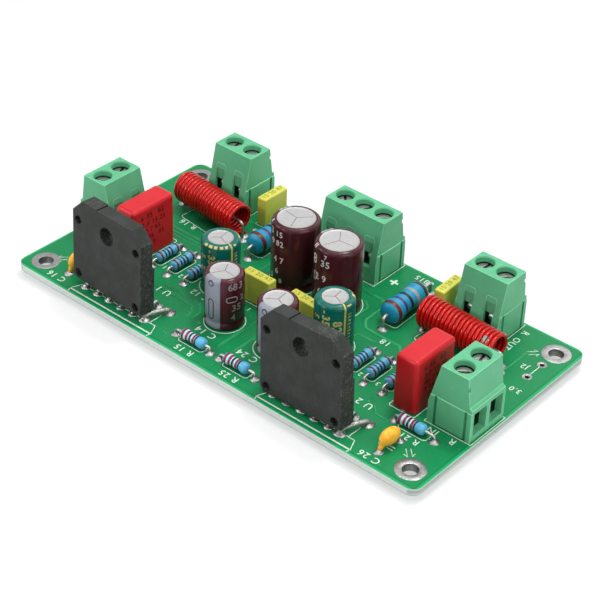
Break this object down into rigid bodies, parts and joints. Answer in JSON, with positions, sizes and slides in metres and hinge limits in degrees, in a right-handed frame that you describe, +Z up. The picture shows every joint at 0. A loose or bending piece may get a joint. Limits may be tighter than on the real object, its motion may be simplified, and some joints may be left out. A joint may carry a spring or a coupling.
{
  "type": "audio amplifier board",
  "caption": "Stereo audio power amplifier circuit board with upright moulded power chips, air-core coils, capacitors and green screw terminals along its edges.",
  "frame": {"origin": "centre of the four mounting holes, on the underside of the board", "axes": "+X along the board's long edge, +Y from the power chips' edge to the supply terminal's edge, +Z up out of the component side"},
  "size_m": [0.1046, 0.055, 0.0237],
  "materials": {
    "board_green": "green solder mask, glossy",
    "terminal_green": "moulded green plastic, satin",
    "screw_steel": "zinc-plated steel",
    "clamp_nickel": "nickel-plated brass",
    "contact_tin": "tin-plated brass",
    "chip_black": "moulded epoxy, dull",
    "coil_red": "red enamelled copper",
    "sleeve_maroon": "shrunk plastic sleeve over aluminium",
    "sleeve_teal": "shrunk plastic sleeve over aluminium",
    "film_red": "moulded box, satin",
    "film_yellow": "moulded box, satin",
    "resistor_blue": "blue lacquer",
    "ceramic_orange": "dipped epoxy",
    "tinned_wire": "tinned copper wire"
  },
  "bodies": {
    "board_assembly": {"supply_terminal_housing": "terminal_green", "left_output_terminal_housing": "terminal_green", "right_output_terminal_housing": "terminal_green", "left_input_terminal_housing": "terminal_green", "right_input_terminal_housing": "terminal_green", "terminal_contacts": "contact_tin", "left_power_chip": "chip_black", "right_power_chip": "chip_black", "left_output_coil": "coil_red", "right_output_coil": "coil_red", "left_supply_electrolytic": "sleeve_maroon", "right_supply_electrolytic": "sleeve_maroon", "left_mute_electrolytic": "sleeve_maroon", "right_mute_electrolytic": "sleeve_maroon", "left_feedback_electrolytic": "sleeve_teal", "right_feedback_electrolytic": "sleeve_teal", "left_input_film_capacitor": "film_red", "right_input_film_capacitor": "film_red", "left_output_film_capacitor": "film_yellow", "right_output_film_capacitor": "film_yellow", "left_supply_film_capacitor": "film_yellow", "right_supply_film_capacitor": "film_yellow", "left_power_resistor": "resistor_blue", "right_power_resistor": "resistor_blue", "left_feedback_resistor_1": "resistor_blue", "left_feedback_resistor_2": "resistor_blue", "left_feedback_resistor_3": "resistor_blue", "right_feedback_resistor_1": "resistor_blue", "right_feedback_resistor_2": "resistor_blue", "right_feedback_resistor_3": "resistor_blue", "left_mute_resistor": "resistor_blue", "right_mute_resistor": "resistor_blue", "left_input_resistor": "resistor_blue", "right_input_resistor": "resistor_blue", "coil_damping_resistors": "resistor_blue", "ceramic_capacitors": "ceramic_orange", "wire_links": "tinned_wire", "circuit_board": "board_green"},
    "supply_terminal_screw_1": {"supply_terminal_screw_1": "screw_steel"},
    "supply_terminal_clamp_1": {"supply_terminal_clamp_1": "clamp_nickel"},
    "supply_terminal_screw_2": {"supply_terminal_screw_2": "screw_steel"},
    "supply_terminal_clamp_2": {"supply_terminal_clamp_2": "clamp_nickel"},
    "supply_terminal_screw_3": {"supply_terminal_screw_3": "screw_steel"},
    "supply_terminal_clamp_3": {"supply_terminal_clamp_3": "clamp_nickel"},
    "left_output_terminal_screw_1": {"left_output_terminal_screw_1": "screw_steel"},
    "left_output_terminal_clamp_1": {"left_output_terminal_clamp_1": "clamp_nickel"},
    "left_output_terminal_screw_2": {"left_output_terminal_screw_2": "screw_steel"},
    "left_output_terminal_clamp_2": {"left_output_terminal_clamp_2": "clamp_nickel"},
    "right_output_terminal_screw_1": {"right_output_terminal_screw_1": "screw_steel"},
    "right_output_terminal_clamp_1": {"right_output_terminal_clamp_1": "clamp_nickel"},
    "right_output_terminal_screw_2": {"right_output_terminal_screw_2": "screw_steel"},
    "right_output_terminal_clamp_2": {"right_output_terminal_clamp_2": "clamp_nickel"},
    "left_input_terminal_screw_1": {"left_input_terminal_screw_1": "screw_steel"},
    "left_input_terminal_clamp_1": {"left_input_terminal_clamp_1": "clamp_nickel"},
    "left_input_terminal_screw_2": {"left_input_terminal_screw_2": "screw_steel"},
    "left_input_terminal_clamp_2": {"left_input_terminal_clamp_2": "clamp_nickel"},
    "right_input_terminal_screw_1": {"right_input_terminal_screw_1": "screw_steel"},
    "right_input_terminal_clamp_1": {"right_input_terminal_clamp_1": "clamp_nickel"},
    "right_input_terminal_screw_2": {"right_input_terminal_screw_2": "screw_steel"},
    "right_input_terminal_clamp_2": {"right_input_terminal_clamp_2": "clamp_nickel"}
  },
  "joints": [
    {"name": "supply_terminal_screw_1_turn", "type": "hinge", "parent": "board_assembly", "child": "supply_terminal_screw_1", "pos_m": [-0.00555, 0.02215, 0.0136], "axis": [0, 0, -1], "range_deg": [0, 2160.5]},
    {"name": "supply_terminal_clamp_1_lift", "type": "slide", "parent": "board_assembly", "child": "supply_terminal_clamp_1", "axis": [0, 0, 1], "range_m": [0, 0.0027]},
    {"name": "supply_terminal_screw_2_turn", "type": "hinge", "parent": "board_assembly", "child": "supply_terminal_screw_2", "pos_m": [-0.00047, 0.02215, 0.0136], "axis": [0, 0, -1], "range_deg": [0, 2160.5]},
    {"name": "supply_terminal_clamp_2_lift", "type": "slide", "parent": "board_assembly", "child": "supply_terminal_clamp_2", "axis": [0, 0, 1], "range_m": [0, 0.0027]},
    {"name": "supply_terminal_screw_3_turn", "type": "hinge", "parent": "board_assembly", "child": "supply_terminal_screw_3", "pos_m": [0.00461, 0.02215, 0.0136], "axis": [0, 0, -1], "range_deg": [0, 2160.5]},
    {"name": "supply_terminal_clamp_3_lift", "type": "slide", "parent": "board_assembly", "child": "supply_terminal_clamp_3", "axis": [0, 0, 1], "range_m": [0, 0.0027]},
    {"name": "left_output_terminal_screw_1_turn", "type": "hinge", "parent": "board_assembly", "child": "left_output_terminal_screw_1", "pos_m": [-0.03684, 0.0223, 0.0136], "axis": [0, 0, -1], "range_deg": [0, 2160.5]},
    {"name": "left_output_terminal_clamp_1_lift", "type": "slide", "parent": "board_assembly", "child": "left_output_terminal_clamp_1", "axis": [0, 0, 1], "range_m": [0, 0.0027]},
    {"name": "left_output_terminal_screw_2_turn", "type": "hinge", "parent": "board_assembly", "child": "left_output_terminal_screw_2", "pos_m": [-0.03176, 0.0223, 0.0136], "axis": [0, 0, -1], "range_deg": [0, 2160.5]},
    {"name": "left_output_terminal_clamp_2_lift", "type": "slide", "parent": "board_assembly", "child": "left_output_terminal_clamp_2", "axis": [0, 0, 1], "range_m": [0, 0.0027]},
    {"name": "right_output_terminal_screw_1_turn", "type": "hinge", "parent": "board_assembly", "child": "right_output_terminal_screw_1", "pos_m": [0.03011, 0.022, 0.0136], "axis": [0, 0, -1], "range_deg": [0, 2160.5]},
    {"name": "right_output_terminal_clamp_1_lift", "type": "slide", "parent": "board_assembly", "child": "right_output_terminal_clamp_1", "axis": [0, 0, 1], "range_m": [0, 0.0027]},
    {"name": "right_output_terminal_screw_2_turn", "type": "hinge", "parent": "board_assembly", "child": "right_output_terminal_screw_2", "pos_m": [0.03519, 0.022, 0.0136], "axis": [0, 0, -1], "range_deg": [0, 2160.5]},
    {"name": "right_output_terminal_clamp_2_lift", "type": "slide", "parent": "board_assembly", "child": "right_output_terminal_clamp_2", "axis": [0, 0, 1], "range_m": [0, 0.0027]},
    {"name": "left_input_terminal_screw_1_turn", "type": "hinge", "parent": "board_assembly", "child": "left_input_terminal_screw_1", "pos_m": [-0.0471, -0.00714, 0.0136], "axis": [0, 0, -1], "range_deg": [0, 2160.5]},
    {"name": "left_input_terminal_clamp_1_lift", "type": "slide", "parent": "board_assembly", "child": "left_input_terminal_clamp_1", "axis": [0, 0, 1], "range_m": [0, 0.0027]},
    {"name": "left_input_terminal_screw_2_turn", "type": "hinge", "parent": "board_assembly", "child": "left_input_terminal_screw_2", "pos_m": [-0.0471, -0.00206, 0.0136], "axis": [0, 0, -1], "range_deg": [0, 2160.5]},
    {"name": "left_input_terminal_clamp_2_lift", "type": "slide", "parent": "board_assembly", "child": "left_input_terminal_clamp_2", "axis": [0, 0, 1], "range_m": [0, 0.0027]},
    {"name": "right_input_terminal_screw_1_turn", "type": "hinge", "parent": "board_assembly", "child": "right_input_terminal_screw_1", "pos_m": [0.04705, -0.00266, 0.0136], "axis": [0, 0, -1], "range_deg": [0, 2160.5]},
    {"name": "right_input_terminal_clamp_1_lift", "type": "slide", "parent": "board_assembly", "child": "right_input_terminal_clamp_1", "axis": [0, 0, 1], "range_m": [0, 0.0027]},
    {"name": "right_input_terminal_screw_2_turn", "type": "hinge", "parent": "board_assembly", "child": "right_input_terminal_screw_2", "pos_m": [0.04705, -0.00774, 0.0136], "axis": [0, 0, -1], "range_deg": [0, 2160.5]},
    {"name": "right_input_terminal_clamp_2_lift", "type": "slide", "parent": "board_assembly", "child": "right_input_terminal_clamp_2", "axis": [0, 0, 1], "range_m": [0, 0.0027]}
  ],
  "couplings": [
    {"joint": "supply_terminal_screw_1_turn", "follows": "supply_terminal_clamp_1_lift", "rad_per_m": 13963},
    {"joint": "supply_terminal_screw_2_turn", "follows": "supply_terminal_clamp_2_lift", "rad_per_m": 13963},
    {"joint": "supply_terminal_screw_3_turn", "follows": "supply_terminal_clamp_3_lift", "rad_per_m": 13963},
    {"joint": "left_output_terminal_screw_1_turn", "follows": "left_output_terminal_clamp_1_lift", "rad_per_m": 13963},
    {"joint": "left_output_terminal_screw_2_turn", "follows": "left_output_terminal_clamp_2_lift", "rad_per_m": 13963},
    {"joint": "right_output_terminal_screw_1_turn", "follows": "right_output_terminal_clamp_1_lift", "rad_per_m": 13963},
    {"joint": "right_output_terminal_screw_2_turn", "follows": "right_output_terminal_clamp_2_lift", "rad_per_m": 13963},
    {"joint": "left_input_terminal_screw_1_turn", "follows": "left_input_terminal_clamp_1_lift", "rad_per_m": 13963},
    {"joint": "left_input_terminal_screw_2_turn", "follows": "left_input_terminal_clamp_2_lift", "rad_per_m": 13963},
    {"joint": "right_input_terminal_screw_1_turn", "follows": "right_input_terminal_clamp_1_lift", "rad_per_m": 13963},
    {"joint": "right_input_terminal_screw_2_turn", "follows": "right_input_terminal_clamp_2_lift", "rad_per_m": 13963}
  ]
}
